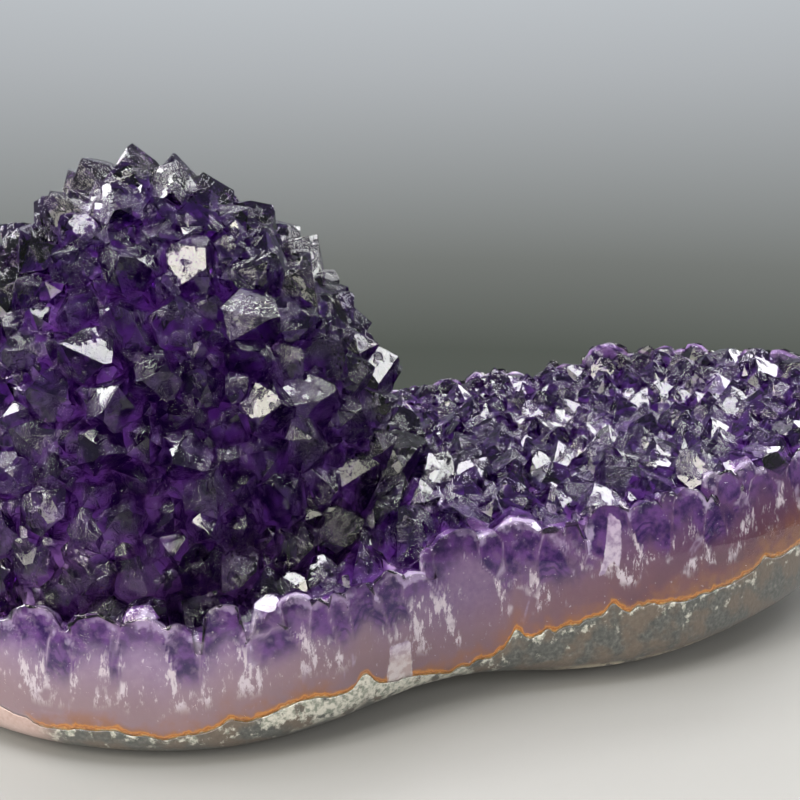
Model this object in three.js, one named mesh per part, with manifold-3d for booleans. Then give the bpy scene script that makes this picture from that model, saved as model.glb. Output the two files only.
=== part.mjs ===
// An amethyst rosette: a slab of geode wall, cut and polished round its rim, that carries one crust of
// quartz crystals, with a tall mound of them over its left lobe. The host rock under the crust is the
// second piece. Millimetres, +Z up, +X along the slab, and the origin on the ground under the middle.
import * as THREE from "three";
import { ConvexGeometry } from "three/addons/geometries/ConvexGeometry.js";
import { LoftGeometry } from "three/addons/geometries/LoftGeometry.js";
import { mergeVertices } from "three/addons/utils/BufferGeometryUtils.js";
import Module from "manifold-3d";

const wasm = await Module();
wasm.setup();

const { degToRad, lerp, seededRandom } = THREE.MathUtils;

// The slab's outline: its reach from the middle, every 15 degrees round from +X.
const RIM_RADII = [
  155, 156, 148, 132, 116, 106, 100, 95, 94, 101, 120, 138, 152, 157, 153, 139, 121, 103, 87, 81, 85,
  96, 111, 132,
];
const RIM_STEP = (2 * Math.PI) / RIM_RADII.length;

// Along X the slab climbs from its low left lobe towards its raised right end. The band is where the
// host rock ends and the quartz begins, and the skin is the mean surface through the crystals.
const CLIMB = { start: -60, end: 230 };
const BAND = { low: 9, rise: 32 };
const SKIN = { low: 34.5, rise: 41 };
const DISH = { depth: 8, slope: 1.4, start: -150 };

// The band's bays and noses: how many waves there are round the rim, how high, and where they start.
const BAND_WAVES = [
  { count: 9, height: 2, phase: -1.26 },
  { count: 16, height: 0.8, phase: 2.5 },
];

// The underside's outer edge: an arch under the slab's waist, and a toe that curls up at the right end.
const EDGE_LOW = 0.8;
const ARCH = { x: 2, width: 34, height: 6.5 };
const TOE = { start: -40, end: 150, rise: 20 };

// The mound of crystals over the left lobe, and the low shoulder in front of it over the waist.
const MOUND = { x: -78, y: -22, left: 64, right: 75, front: 73, back: 80, height: 98, roundness: 0.8 };
const SHOULDER = { x: 2, y: -48, reach: 30, height: 12 };

// The polished wall, from the flat that it rests on: how far out each ring of it stands as a share of
// the rim, how much of the edge's height it takes, and how far it lies above that.
const FLAT_SHARE = 0.56;
const WALL_PROFILE = [
  { share: 0.8, lift: 0.45, above: 0 },
  { share: 0.95, lift: 1, above: 0 },
  { share: 0.985, lift: 1, above: 3 },
  { share: 1, lift: 1, above: 12 },
  { share: 0.985, lift: 1, above: 32 },
  { share: 0.94, lift: 1, above: 60 },
];

// The crystals: their half-widths, how closely they stand, and how far their tips stand out, lean and
// vary. Of a tip's six faces three are larger, and the others are set back by a share of the width.
const CRYSTAL_COUNT = 146;
const HALF_WIDTH = { first: 12.5, last: 8 };
const SPACING = 0.86;
const TIP_OUT = 0.95;
const TIP_SPREAD = 0.35;
const LEAN = 0.6;
const FACE_SET_BACK = { large: 0, small: 0.12, spread: 0.12 };
const FACE_TO_AXIS = degToRad(38.2);

// Under the tips each crystal is a wide shank, sunk into a bare core that lies this deep in the skin.
const SHANK = { reach: 2, length: 9, lengthPerWidth: 1.3 };
const CORE_DEPTH = 8;

const COLUMNS = 60;
const MOUND_COLUMNS = 20;
const CORE_SHARES = [1, 0.85, 0.6, 0.3];
const MOUND_SHARES = [0.93, 0.85, 0.65, 0.35, 0];
const BAND_SHARES = [0.8];
const PIECE_GAP = 0.3;
const BLOCK = { share: 1.15, foot: -20, top: 200 };

// Places are tried at random, out to just past the rim. On a level part of the skin only this share of
// the tries is kept, and on a steep part, with more surface for its place in the plan, more of them.
const SEED = 7;
const MOST_TRIES = 60000;
const FARTHEST_SHARE = 1.02;
const KEPT_WHERE_LEVEL = 0.34;

function ease(value) {
  const t = Math.min(1, Math.max(0, value));
  return t * t * (3 - 2 * t);
}

function bell(distance, width) {
  return Math.exp(-((distance / width) ** 2));
}

// How far along its climb the slab is, from 0 to 1.
function climb(x) {
  return ease((x - CLIMB.start) / (CLIMB.end - CLIMB.start));
}

// The outline's reach at an angle, on a smooth closed curve through RIM_RADII.
function rimRadius(angle) {
  const count = RIM_RADII.length;
  const place = (angle / RIM_STEP + count) % count;
  const k = Math.floor(place);
  const t = place - k;
  const [a, b, c, d] = [-1, 0, 1, 2].map((i) => RIM_RADII[(k + i + count) % count]);
  return b + 0.5 * t * (c - a + t * (2 * a - 5 * b + 4 * c - d + t * (3 * (b - c) + d - a)));
}

// How far out a point lies, where 0 is the middle and 1 the rim.
function rimShare(x, y) {
  return Math.hypot(x, y) / rimRadius(Math.atan2(y, x));
}

function edgeHeight(x) {
  const toe = Math.max(0, (x - TOE.start) / (TOE.end - TOE.start)) ** 3;
  return EDGE_LOW + ARCH.height * bell(x - ARCH.x, ARCH.width) + TOE.rise * toe;
}

// The waves of the band die out towards the middle, so that the surface stays smooth there.
function bandHeight(x, y) {
  const angle = Math.atan2(y, x);
  let waves = 0;
  for (const { count, height, phase } of BAND_WAVES) waves += height * Math.sin(count * angle + phase);
  return BAND.low + BAND.rise * climb(x) + waves * ease(2 * rimShare(x, y));
}

// The skin without the mound.
function plateHeight(x, y) {
  const inwards = 1 - Math.min(1, rimShare(x, y));
  const dish = DISH.depth * ease(DISH.slope * inwards) * climb(x + CLIMB.start - DISH.start);
  const shoulder = SHOULDER.height * bell(Math.hypot(x - SHOULDER.x, y - SHOULDER.y), SHOULDER.reach);
  return SKIN.low + SKIN.rise * climb(x) - dish + shoulder;
}

function moundReach(dx, dy) {
  return [dx < 0 ? MOUND.left : MOUND.right, dy < 0 ? MOUND.front : MOUND.back];
}

function skinHeight(x, y) {
  const [dx, dy] = [x - MOUND.x, y - MOUND.y];
  const [reachX, reachY] = moundReach(dx, dy);
  const share = Math.min(1, Math.hypot(dx / reachX, dy / reachY));
  return plateHeight(x, y) + MOUND.height * (1 - share ** 2) ** MOUND.roundness;
}

function skinNormal(x, y) {
  const step = 1.5;
  const slopeX = (skinHeight(x + step, y) - skinHeight(x - step, y)) / (2 * step);
  const slopeY = (skinHeight(x, y + step) - skinHeight(x, y - step)) / (2 * step);
  return new THREE.Vector3(-slopeX, -slopeY, 1).normalize();
}

// The points of a closed ring, each placed by a function of its angle.
function ringOf(columns, place) {
  return Array.from({ length: columns }, (_, i) => place((2 * Math.PI * i) / columns));
}

// A ring at a share of the rim's reach, with its height given by a function of the place.
function rimRing(share, height) {
  return ringOf(COLUMNS, (angle) => {
    const reach = share * rimRadius(angle);
    const [x, y] = [reach * Math.cos(angle), reach * Math.sin(angle)];
    return new THREE.Vector3(x, y, height(x, y));
  });
}

// The same round the mound's own middle.
function moundRing(share, height) {
  return ringOf(MOUND_COLUMNS, (angle) => {
    const [reachX, reachY] = moundReach(Math.cos(angle), Math.sin(angle));
    const x = MOUND.x + share * reachX * Math.cos(angle);
    const y = MOUND.y + share * reachY * Math.sin(angle);
    return new THREE.Vector3(x, y, height(x, y));
  });
}

// A closed geometry as a solid that can be joined and cut. A loft's last ring may be one point, so
// triangles that have shrunk to a line there are left out.
function solidOf(geometry) {
  const bare = new THREE.BufferGeometry();
  bare.setAttribute("position", geometry.getAttribute("position"));
  bare.setIndex(geometry.index);
  const merged = mergeVertices(bare);
  const corners = merged.index.array;
  const triVerts = [];
  for (let i = 0; i < corners.length; i += 3) {
    const [a, b, c] = corners.slice(i, i + 3);
    if (a !== b && b !== c && c !== a) triVerts.push(a, b, c);
  }
  const mesh = new wasm.Mesh({
    numProp: 3,
    vertProperties: new Float32Array(merged.attributes.position.array),
    triVerts: new Uint32Array(triVerts),
  });
  return new wasm.Manifold(mesh);
}

// Everything inside the polished wall, which is carried up past the tips so that it slices them flush.
function envelope() {
  const flat = rimRing(FLAT_SHARE, () => 0);
  const wall = WALL_PROFILE.map((row) => rimRing(row.share, (x) => edgeHeight(x) * row.lift + row.above));
  const top = rimRing(WALL_PROFILE.at(-1).share, () => BLOCK.top);
  return solidOf(new LoftGeometry([flat, ...wall, top], { capStart: true, capEnd: true }));
}

// A block wider than the slab, from below it up to a surface.
function blockUnder(surface, shares) {
  const foot = rimRing(BLOCK.share, () => BLOCK.foot);
  const rings = [BLOCK.share, ...shares, 0].map((share) => rimRing(share, surface));
  return solidOf(new LoftGeometry([foot, ...rings], { capStart: true }));
}

function moundCore() {
  const foot = moundRing(MOUND_SHARES[0], () => SKIN.low - 2 * CORE_DEPTH);
  const rings = MOUND_SHARES.map((share) => moundRing(share, (x, y) => skinHeight(x, y) - CORE_DEPTH));
  return solidOf(new LoftGeometry([foot, ...rings], { capStart: true }));
}

// The largest body of a solid, without the chips and pockets that are cut off from it.
function wholeBody(solid) {
  return solid.decompose().reduce((most, body) => (body.volume() > most.volume() ? body : most));
}

// Where the crystals stand. Large ones are placed first, and smaller ones wherever they still fit.
function crystalSeeds() {
  seededRandom(SEED);
  const seeds = [];
  const across = Math.max(...RIM_RADII);
  for (let tries = 0; seeds.length < CRYSTAL_COUNT && tries < MOST_TRIES; tries++) {
    const x = lerp(-across, across, seededRandom());
    const y = lerp(-across, across, seededRandom());
    const normal = skinNormal(x, y);
    const isKept = seededRandom() * normal.z < KEPT_WHERE_LEVEL;
    if (rimShare(x, y) > FARTHEST_SHARE || !isKept) continue;
    const point = new THREE.Vector3(x, y, skinHeight(x, y));
    const halfWidth = lerp(HALF_WIDTH.first, HALF_WIDTH.last, Math.sqrt(seeds.length / CRYSTAL_COUNT));
    const isFree = seeds.every((s) => s.point.distanceTo(point) >= SPACING * (s.halfWidth + halfWidth));
    if (isFree) seeds.push({ point, normal, halfWidth });
  }
  return seeds;
}

// The point that three planes share, each plane a normal and its distance from the origin.
function meetingPoint(a, b, c) {
  const cross = new THREE.Vector3().crossVectors(b.normal, c.normal);
  const volume = a.normal.dot(cross);
  if (Math.abs(volume) < 1e-4) return null;
  const point = cross.multiplyScalar(a.reach);
  point.addScaledVector(new THREE.Vector3().crossVectors(c.normal, a.normal), b.reach);
  point.addScaledVector(new THREE.Vector3().crossVectors(a.normal, b.normal), c.reach);
  return point.divideScalar(volume);
}

// The corners of the solid that the planes bound.
function cornersOf(planes) {
  const corners = [];
  for (let i = 0; i < planes.length; i++)
    for (let j = i + 1; j < planes.length; j++)
      for (let k = j + 1; k < planes.length; k++) {
        const point = meetingPoint(planes[i], planes[j], planes[k]);
        const isInside = point && planes.every((plane) => plane.normal.dot(point) <= plane.reach + 1e-6);
        if (isInside) corners.push(point);
      }
  return corners;
}

// One quartz crystal: pyramid faces that meet in a tip, over a six-sided shank.
function crystal({ point, normal, halfWidth }) {
  const depth = SHANK.length + SHANK.lengthPerWidth * halfWidth;
  const planes = [{ normal: new THREE.Vector3(0, 0, -1), reach: depth }];
  for (let k = 0; k < 6; k++) {
    const angle = (k * Math.PI) / 3;
    const side = new THREE.Vector3(Math.cos(angle), Math.sin(angle), 0);
    const face = side.clone().multiplyScalar(Math.cos(FACE_TO_AXIS)).setZ(Math.sin(FACE_TO_AXIS));
    const leastSetBack = k % 2 === 0 ? FACE_SET_BACK.large : FACE_SET_BACK.small;
    const setBack = leastSetBack + FACE_SET_BACK.spread * seededRandom();
    planes.push({ normal: face, reach: halfWidth * setBack });
    planes.push({ normal: side, reach: halfWidth * SHANK.reach });
  }
  const lean = new THREE.Vector3(seededRandom() - 0.5, seededRandom() - 0.5, seededRandom() - 0.5);
  const axis = normal.clone().addScaledVector(lean, LEAN).normalize();
  const up = new THREE.Vector3(0, 0, 1);
  const turn = new THREE.Quaternion().setFromUnitVectors(up, axis);
  turn.multiply(new THREE.Quaternion().setFromAxisAngle(up, 2 * Math.PI * seededRandom()));
  const out = halfWidth * (TIP_OUT + TIP_SPREAD * (seededRandom() - 0.5));
  const tip = point.clone().addScaledVector(axis, out);
  const corners = cornersOf(planes).map((corner) => corner.applyQuaternion(turn).add(tip));
  return solidOf(new ConvexGeometry(corners));
}

function meshOf(name, solid, material) {
  const { vertProperties, triVerts } = solid.getMesh();
  const geometry = new THREE.BufferGeometry();
  geometry.setAttribute("position", new THREE.BufferAttribute(vertProperties, 3));
  geometry.setIndex(new THREE.BufferAttribute(triVerts, 1));
  const mesh = new THREE.Mesh(geometry.toNonIndexed(), material);
  mesh.geometry.computeVertexNormals();
  mesh.name = name;
  return mesh;
}

function hostRock(outline) {
  const solid = outline.intersect(blockUnder(bandHeight, BAND_SHARES));
  const stone = new THREE.MeshStandardMaterial({ color: 0x6f736b, roughness: 0.45 });
  return meshOf("host_rock", solid, stone);
}

function amethystCrust(outline) {
  const plateCore = blockUnder((x, y) => plateHeight(x, y) - CORE_DEPTH, CORE_SHARES);
  const crystals = crystalSeeds().map(crystal);
  const grown = wasm.Manifold.union([plateCore, moundCore(), ...crystals]).intersect(outline);
  const rockAndGap = blockUnder((x, y) => bandHeight(x, y) + PIECE_GAP, BAND_SHARES);
  const solid = wholeBody(grown.subtract(rockAndGap));
  const quartz = new THREE.MeshStandardMaterial({ color: 0x46307a, roughness: 0.12 });
  return meshOf("amethyst_crust", solid, quartz);
}

const rosette = new THREE.Group();
const outline = envelope();
rosette.add(hostRock(outline), amethystCrust(outline));

const middle = new THREE.Box3().setFromObject(rosette).getCenter(new THREE.Vector3());
rosette.position.set(-middle.x, -middle.y, 0);

export default rosette;
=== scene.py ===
# Looks of the amethyst rosette: the crust of crystals in clear purple quartz, the milky quartz that
# they grow from and that the polished wall cuts through, and the host rock under it.
# Shapes are worked out in millimetres in the part's own places, and moved into the frame at the end.
import math

import bmesh
import bpy
import numpy as np
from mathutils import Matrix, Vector


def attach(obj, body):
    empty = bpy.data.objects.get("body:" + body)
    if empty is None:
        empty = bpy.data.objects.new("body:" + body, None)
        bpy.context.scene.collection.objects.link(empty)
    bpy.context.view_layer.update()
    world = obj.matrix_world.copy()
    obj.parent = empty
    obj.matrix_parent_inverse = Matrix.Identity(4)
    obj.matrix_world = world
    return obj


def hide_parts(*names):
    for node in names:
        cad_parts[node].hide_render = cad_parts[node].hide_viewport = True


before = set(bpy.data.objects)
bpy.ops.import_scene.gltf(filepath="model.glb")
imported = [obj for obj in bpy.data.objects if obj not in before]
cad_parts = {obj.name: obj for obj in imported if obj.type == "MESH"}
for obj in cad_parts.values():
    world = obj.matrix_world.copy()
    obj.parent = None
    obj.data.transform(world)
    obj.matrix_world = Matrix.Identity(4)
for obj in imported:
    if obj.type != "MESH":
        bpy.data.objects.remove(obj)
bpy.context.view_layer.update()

# The part's own forms, as in its source, in millimetres.

# The slab's outline: its reach from the middle, every 15 degrees round from +X.
RIM_RADII = np.array([
    155, 156, 148, 132, 116, 106, 100, 95, 94, 101, 120, 138, 152, 157, 153, 139, 121, 103, 87, 81,
    85, 96, 111, 132,
], dtype=float)
RIM_STEP = 2 * math.pi / len(RIM_RADII)
CLIMB_START, CLIMB_LENGTH = -60, 290
BAND_LOW, BAND_RISE = 9, 32
BAND_WAVES = [(9, 2.0, -1.26), (16, 0.8, 2.5)]
SKIN_LOW, SKIN_RISE = 34.5, 41
DISH_DEPTH, DISH_SLOPE, DISH_START = 8, 1.4, -150
EDGE_LOW = 0.8
ARCH_X, ARCH_WIDTH, ARCH_HEIGHT = 2, 34, 6.5
TOE_START, TOE_END, TOE_RISE = -40, 150, 20
MOUND_X, MOUND_Y, MOUND_HEIGHT, MOUND_ROUNDNESS = -78, -22, 98, 0.8
MOUND_LEFT, MOUND_RIGHT, MOUND_FRONT, MOUND_BACK = 64, 75, 73, 80
SHOULDER_X, SHOULDER_Y, SHOULDER_REACH, SHOULDER_HEIGHT = 2, -48, 30, 12
FLAT_SHARE = 0.56
BLOCK_TOP = 200
FACE_TO_AXIS = math.radians(38.2)


def ease(value):
    t = np.clip(value, 0, 1)
    return t * t * (3 - 2 * t)


def bell(distance, width):
    return np.exp(-((distance / width) ** 2))


def climb(x):
    return ease((x - CLIMB_START) / CLIMB_LENGTH)


def rim_radius(angle):
    count = len(RIM_RADII)
    place = np.mod(angle / RIM_STEP, count)
    k = np.floor(place).astype(int)
    t = place - k
    a, b, c, d = (RIM_RADII[(k + i) % count] for i in (-1, 0, 1, 2))
    return b + 0.5 * t * (c - a + t * (2 * a - 5 * b + 4 * c - d + t * (3 * (b - c) + d - a)))


def rim_place(angle):
    return rim_radius(angle) * np.cos(angle), rim_radius(angle) * np.sin(angle)


def rim_share(x, y):
    return np.hypot(x, y) / rim_radius(np.arctan2(y, x))


def inside_rim(points):
    """How far points lie inside the rim, seen from above."""
    return rim_radius(np.arctan2(points[:, 1], points[:, 0])) - np.hypot(points[:, 0], points[:, 1])


def edge_height(x):
    toe = np.maximum(0, (x - TOE_START) / (TOE_END - TOE_START)) ** 3
    return EDGE_LOW + ARCH_HEIGHT * bell(x - ARCH_X, ARCH_WIDTH) + TOE_RISE * toe


def band_height(x, y):
    angle = np.arctan2(y, x)
    waves = sum(height * np.sin(count * angle + phase) for count, height, phase in BAND_WAVES)
    return BAND_LOW + BAND_RISE * climb(x) + waves * ease(2 * rim_share(x, y))


def plate_height(x, y):
    inwards = 1 - np.minimum(1, rim_share(x, y))
    dish = DISH_DEPTH * ease(DISH_SLOPE * inwards) * climb(x + CLIMB_START - DISH_START)
    shoulder = SHOULDER_HEIGHT * bell(np.hypot(x - SHOULDER_X, y - SHOULDER_Y), SHOULDER_REACH)
    return SKIN_LOW + SKIN_RISE * climb(x) - dish + shoulder


def mound_share(x, y):
    dx, dy = x - MOUND_X, y - MOUND_Y
    reach_x = np.where(dx < 0, MOUND_LEFT, MOUND_RIGHT)
    reach_y = np.where(dy < 0, MOUND_FRONT, MOUND_BACK)
    return np.minimum(1, np.hypot(dx / reach_x, dy / reach_y))


def skin_height(x, y):
    return plate_height(x, y) + MOUND_HEIGHT * (1 - mound_share(x, y) ** 2) ** MOUND_ROUNDNESS


def skin_normal(x, y):
    step = 1.5
    slope_x = (skin_height(x + step, y) - skin_height(x - step, y)) / (2 * step)
    slope_y = (skin_height(x, y + step) - skin_height(x, y - step)) / (2 * step)
    normal = np.stack([-slope_x, -slope_y, np.ones_like(slope_x)], axis=-1)
    return normal / np.linalg.norm(normal, axis=-1, keepdims=True)


def outline_middle():
    x, y = rim_place(np.linspace(0, 2 * math.pi, 60, endpoint=False))
    return np.array([(x.min() + x.max()) / 2, (y.min() + y.max()) / 2, 0])


MIDDLE = outline_middle()


def in_frame(points):
    return (np.asarray(points, dtype=float) - MIDDLE) / 1000


def new_object(name, points, faces, smooth=None):
    """A new mesh object. It is shaded flat, apart from the faces that smooth marks."""
    mesh = bpy.data.meshes.new(name)
    mesh.from_pydata(np.asarray(points, dtype=float).tolist(), [], faces)
    mesh.polygons.foreach_set("use_smooth", np.zeros(len(faces), dtype=bool) if smooth is None else smooth)
    return bpy.data.objects.new(name, mesh)


def link(*objects):
    for obj in objects:
        bpy.context.scene.collection.objects.link(obj)


def boolean(first, others, operation):
    """The mesh of one object joined with, cut by or kept inside others. They are all used up."""
    group = bpy.data.collections.new("operands")
    bpy.context.scene.collection.children.link(group)
    link(first)
    for other in others:
        group.objects.link(other)
    step = first.modifiers.new("step", "BOOLEAN")
    step.operation = operation
    step.solver = "MANIFOLD"
    step.operand_type = "COLLECTION"
    step.collection = group
    mesh = bpy.data.meshes.new_from_object(first.evaluated_get(bpy.context.evaluated_depsgraph_get()))
    if len(mesh.vertices) == len(first.data.vertices):
        raise RuntimeError(f"{first.name} could not be changed by {operation}")
    result = bpy.data.objects.new(first.name, mesh)
    for obj in [first, *others]:
        old = obj.data
        bpy.data.objects.remove(obj)
        bpy.data.meshes.remove(old)
    bpy.data.collections.remove(group)
    return result


def drop_crumbs(obj):
    """Keep the largest connected part alone, without the crumbs and closed pockets that joining leaves."""
    mesh = bmesh.new()
    mesh.from_mesh(obj.data)
    seen = set()
    parts = []
    for start in mesh.verts:
        if start in seen:
            continue
        seen.add(start)
        part = [start]
        for vert in part:
            for edge in vert.link_edges:
                other = edge.other_vert(vert)
                if other not in seen:
                    seen.add(other)
                    part.append(other)
        parts.append(part)
    parts.sort(key=len)
    crumbs = [vert for part in parts[:-1] for vert in part]
    bmesh.ops.delete(mesh, geom=crumbs, context="VERTS")
    mesh.to_mesh(obj.data)
    mesh.free()


def ring_solid(name, rings, start_point=None, end_point=None, smooth=(0, 0)):
    """A closed mesh through rings of equally many points, each end closed by a fan or an n-gon.

    It is shaded smooth between the two rings that smooth names.
    """
    count = len(rings[0])
    points = np.concatenate(rings)
    faces = []
    around = np.arange(count)
    following = (around + 1) % count
    for level in range(len(rings) - 1):
        low, high = level * count, (level + 1) * count
        quads = np.stack([low + around, low + following, high + following, high + around], axis=1)
        faces.extend(quads.tolist())
    last = (len(rings) - 1) * count
    extra = []
    if start_point is None:
        faces.append(around[::-1].tolist())
    else:
        centre = len(points) + len(extra)
        extra.append(start_point)
        faces.extend(np.stack([following, around, np.full(count, centre)], axis=1).tolist())
    if end_point is None:
        faces.append((last + around).tolist())
    else:
        centre = len(points) + len(extra)
        extra.append(end_point)
        faces.extend(np.stack([last + around, last + following, np.full(count, centre)], axis=1).tolist())
    if extra:
        points = np.concatenate([points, np.array(extra, dtype=float)])
    is_smooth = np.zeros(len(faces), dtype=bool)
    is_smooth[smooth[0] * count:smooth[1] * count] = True
    return new_object(name, points, faces, is_smooth)


def angles(count):
    return np.linspace(0, 2 * math.pi, count, endpoint=False)


def wall_share(above):
    """How far out the polished wall stands at a height above its edge, as a share of the rim's reach."""
    below = np.clip((12 - above) / 12, 0, 1) ** 4
    over = np.clip((above - 12) / 20, 0, 2) ** 2
    return 1 - 0.05 * below - 0.015 * over


def wall_points(angle, height, inset=0.0):
    """Points of the wall at angles and heights. The edge's height depends on the place at the rim."""
    radius = rim_radius(angle)
    edge = edge_height(radius * np.cos(angle) * 0.98)
    reach = radius * wall_share(height - edge) - inset
    return np.stack([reach * np.cos(angle), reach * np.sin(angle), height], axis=-1)


# The line between rock and quartz has finer bays and noses than the part's.
BAND_SEED = 3
FINE_WAVES = 14
FEWEST_ROUND, MOST_ROUND = 32, 170
WAVE_LENGTH_TO_HEIGHT = 52
# Lobes of rock that stand up into the quartz, and sags: the angle in degrees, height and half width.
LOBES = [
    (287.8, 4.2, 2.7), (261.9, 4.4, 2.4), (305.5, 2.6, 1.8), (331.0, 2.2, 2.2), (247.0, 1.8, 2.2),
    (234.4, 2.3, 9.0), (254.1, 3.4, 9.0), (289.5, -1.8, 7.0), (309.0, 1.8, 9.0), (319.8, 2.0, 9.0),
    (335.4, -2.3, 10.0),
]


def fine_band(angle):
    """Bays and noses a few millimetres wide on the line between rock and quartz."""
    random = np.random.default_rng(BAND_SEED)
    rise = np.zeros_like(angle)
    for _ in range(FINE_WAVES):
        count = random.integers(FEWEST_ROUND, MOST_ROUND)
        phase = random.uniform(0, 2 * math.pi)
        height = WAVE_LENGTH_TO_HEIGHT / count * random.uniform(0.4, 1)
        rise = rise + height * (np.abs(np.sin(count * angle / 2 + phase)) ** 0.7 - 0.6)
    rise = rise * (0.65 + 0.35 * np.sin(5 * angle + 1.1))
    for middle, height, half_width in LOBES:
        turn = np.angle(np.exp(1j * (angle - math.radians(middle))))
        rise = rise + height * bell(turn * rim_radius(angle), half_width)
    return rise


def band_line(angle):
    """The height of the line between rock and quartz at the wall."""
    return band_height(*rim_place(angle)) + fine_band(angle)


# The crystals: how many, how large and how close to each other.
CRYSTAL_SEED = 11
CRYSTALS_MOST = 1700
TRIES = 260000
WIDEST, NARROWEST = 6.9, 2.3
SPACING = 0.76
LEAN = 0.7
# Steep ground shows more of itself than its plan, so more of the tries are kept there.
KEPT_SHARE = 0.34
OVER_RIM = 1.03
RIM_VARIETY = (0.62, 1.3)
TURN_TO_FINE = 2.6


def width_scale(x, y):
    """Larger crystals over the waist and by the rim, finer ones far out on the plate."""
    saddle = bell(np.hypot(x - 5, (y + 30) * 0.8), 42)
    return 0.86 + 0.5 * saddle + 0.12 * by_rim(x, y) + 0.16 * ease(2 - 2 * mound_share(x, y))


def by_rim(x, y):
    return ease((rim_share(x, y) - 0.84) / 0.12)


def crystal_places():
    random = np.random.default_rng(CRYSTAL_SEED)
    across = RIM_RADII.max()
    x = random.uniform(-across, across, TRIES)
    y = random.uniform(-across, across, TRIES)
    normal = skin_normal(x, y)
    is_kept = (random.random(TRIES) * normal[:, 2] < KEPT_SHARE) & (rim_share(x, y) < OVER_RIM)
    x, y, normal = x[is_kept], y[is_kept], normal[is_kept]
    point = np.stack([x, y, skin_height(x, y)], axis=1)
    variety = random.uniform(*RIM_VARIETY, len(x))
    scale = width_scale(x, y) * (1 + (variety - 1) * by_rim(x, y))
    places = np.zeros((CRYSTALS_MOST, 3))
    widths = np.zeros(CRYSTALS_MOST)
    chosen = []
    total = len(x)
    for i in range(total):
        placed = len(chosen)
        if placed == CRYSTALS_MOST:
            break
        done = i / total
        width = (NARROWEST + (WIDEST - NARROWEST) * (1 - done) ** TURN_TO_FINE) * scale[i]
        apart = np.linalg.norm(places[:placed] - point[i], axis=1)
        if (apart < SPACING * (widths[:placed] + width)).any():
            continue
        places[placed] = point[i]
        widths[placed] = width
        chosen.append(i)
    return places[:len(chosen)], widths[:len(chosen)], normal[chosen], random


BEVEL_RISE = math.radians(60)
TALLER_ON_MOUND = 2.0
UNEVEN_RIM = 5.0
UNREACHED = 60.0
WORN_FROM = 0.3
# How far a tip stands over the skin, and how deep its root goes, in widths and millimetres.
OUT, OUT_RANGE, WORN_OFF = 0.9, 0.55, 0.1
ROOT_DEPTH, ROOT_PER_WIDTH = 10, 1.5
SMALL_FACE, UNEVEN_FACES = 0.08, 0.5


class Crystals:
    """Every crystal as planes: its base, six faces of its tip, six of its prism, and a worn top.

    Only the crystals along the rim, which the polished wall slices, are worn to a rounded top.
    """

    def __init__(self):
        places, widths, outward, random = crystal_places()
        count = len(widths)
        lean = random.random((count, 3)) - 0.5
        axis = outward + LEAN * lean
        axis /= np.linalg.norm(axis, axis=1, keepdims=True)
        helper = np.where(np.abs(axis[:, :1]) < 0.9, [[1.0, 0, 0]], [[0, 1.0, 0]])
        side = np.cross(axis, helper)
        side /= np.linalg.norm(side, axis=1, keepdims=True)
        across = np.cross(axis, side)
        turn = random.uniform(0, 2 * math.pi, (count, 1))
        first = np.cos(turn) * side + np.sin(turn) * across
        second = np.cross(axis, first)
        self.frames = np.stack([first, second, axis], axis=1)
        worn = by_rim(places[:, 0], places[:, 1])
        luck = random.random(count) - 0.5
        out = widths * (OUT + OUT_RANGE * luck - WORN_OFF * worn) + UNEVEN_RIM * luck * worn
        out += TALLER_ON_MOUND * ease(3 * (1 - mound_share(places[:, 0], places[:, 1])))
        self.tips = places + axis * out[:, None]
        self.widths = widths
        self.tone = random.random(count)
        hexagon = np.arange(6) * math.pi / 3
        flat = np.stack([np.cos(hexagon), np.sin(hexagon), np.zeros(6)], axis=1)
        tip = flat * math.cos(FACE_TO_AXIS) + [0, 0, math.sin(FACE_TO_AXIS)]
        turned = hexagon + math.pi / 6
        bevel = np.stack([np.cos(turned), np.sin(turned), np.full(6, math.tan(BEVEL_RISE))], axis=1)
        bevel *= math.cos(BEVEL_RISE)
        self.normals = np.concatenate([[[0, 0, -1.0]], tip, flat, bevel, [[0, 0, 1.0]]])
        large_or_small = np.where(np.arange(6) % 2 == 0, 0.0, SMALL_FACE)
        tip_reach = widths[:, None] * (large_or_small + UNEVEN_FACES * random.random((count, 6)) ** 1.4)
        side_reach = widths[:, None] * (1.0 + 0.14 * random.random((count, 6)))
        depth = ROOT_DEPTH + ROOT_PER_WIDTH * widths
        unworn = np.where(worn > WORN_FROM, 0.0, UNREACHED)[:, None]
        bevel_reach = widths[:, None] * (0.12 * random.random((count, 6)) - 0.22) + unworn
        top_reach = widths[:, None] * -0.45 + unworn
        self.reach = np.concatenate([depth[:, None], tip_reach, side_reach, bevel_reach, top_reach], axis=1)

    def world_normals(self, chosen):
        return np.einsum("pj,cjk->cpk", self.normals, self.frames[chosen])


PLANES = 20
TRIPLES = np.array([
    (i, j, k) for i in range(PLANES) for j in range(i + 1, PLANES) for k in range(j + 1, PLANES)
])
PLANE_TOLERANCE = 1e-4
FLATTEST_CORNER = 1e-4
HAIR = 0.004
TIP_FACES, PRISM_FACES, WORN_FACES = slice(1, 7), slice(7, 13), slice(13, 20)
# Set back from its faces a crystal keeps most of its width, so that few gaps open between neighbours.
SHRINK_SHARES = np.ones(PLANES)
SHRINK_SHARES[PRISM_FACES] = 0.3


def plane_meetings(normals):
    """Where every three planes meet, as matrices that turn their three distances into a point."""
    a, b, c = (normals[TRIPLES[:, i]] for i in range(3))
    volume = np.einsum("ij,ij->i", a, np.cross(b, c))
    usable = np.abs(volume) > FLATTEST_CORNER
    a, b, c, volume = a[usable], b[usable], c[usable], volume[usable]
    columns = [np.cross(b, c), np.cross(c, a), np.cross(a, b)]
    return TRIPLES[usable], np.stack(columns, axis=2) / volume[:, None, None]


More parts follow.
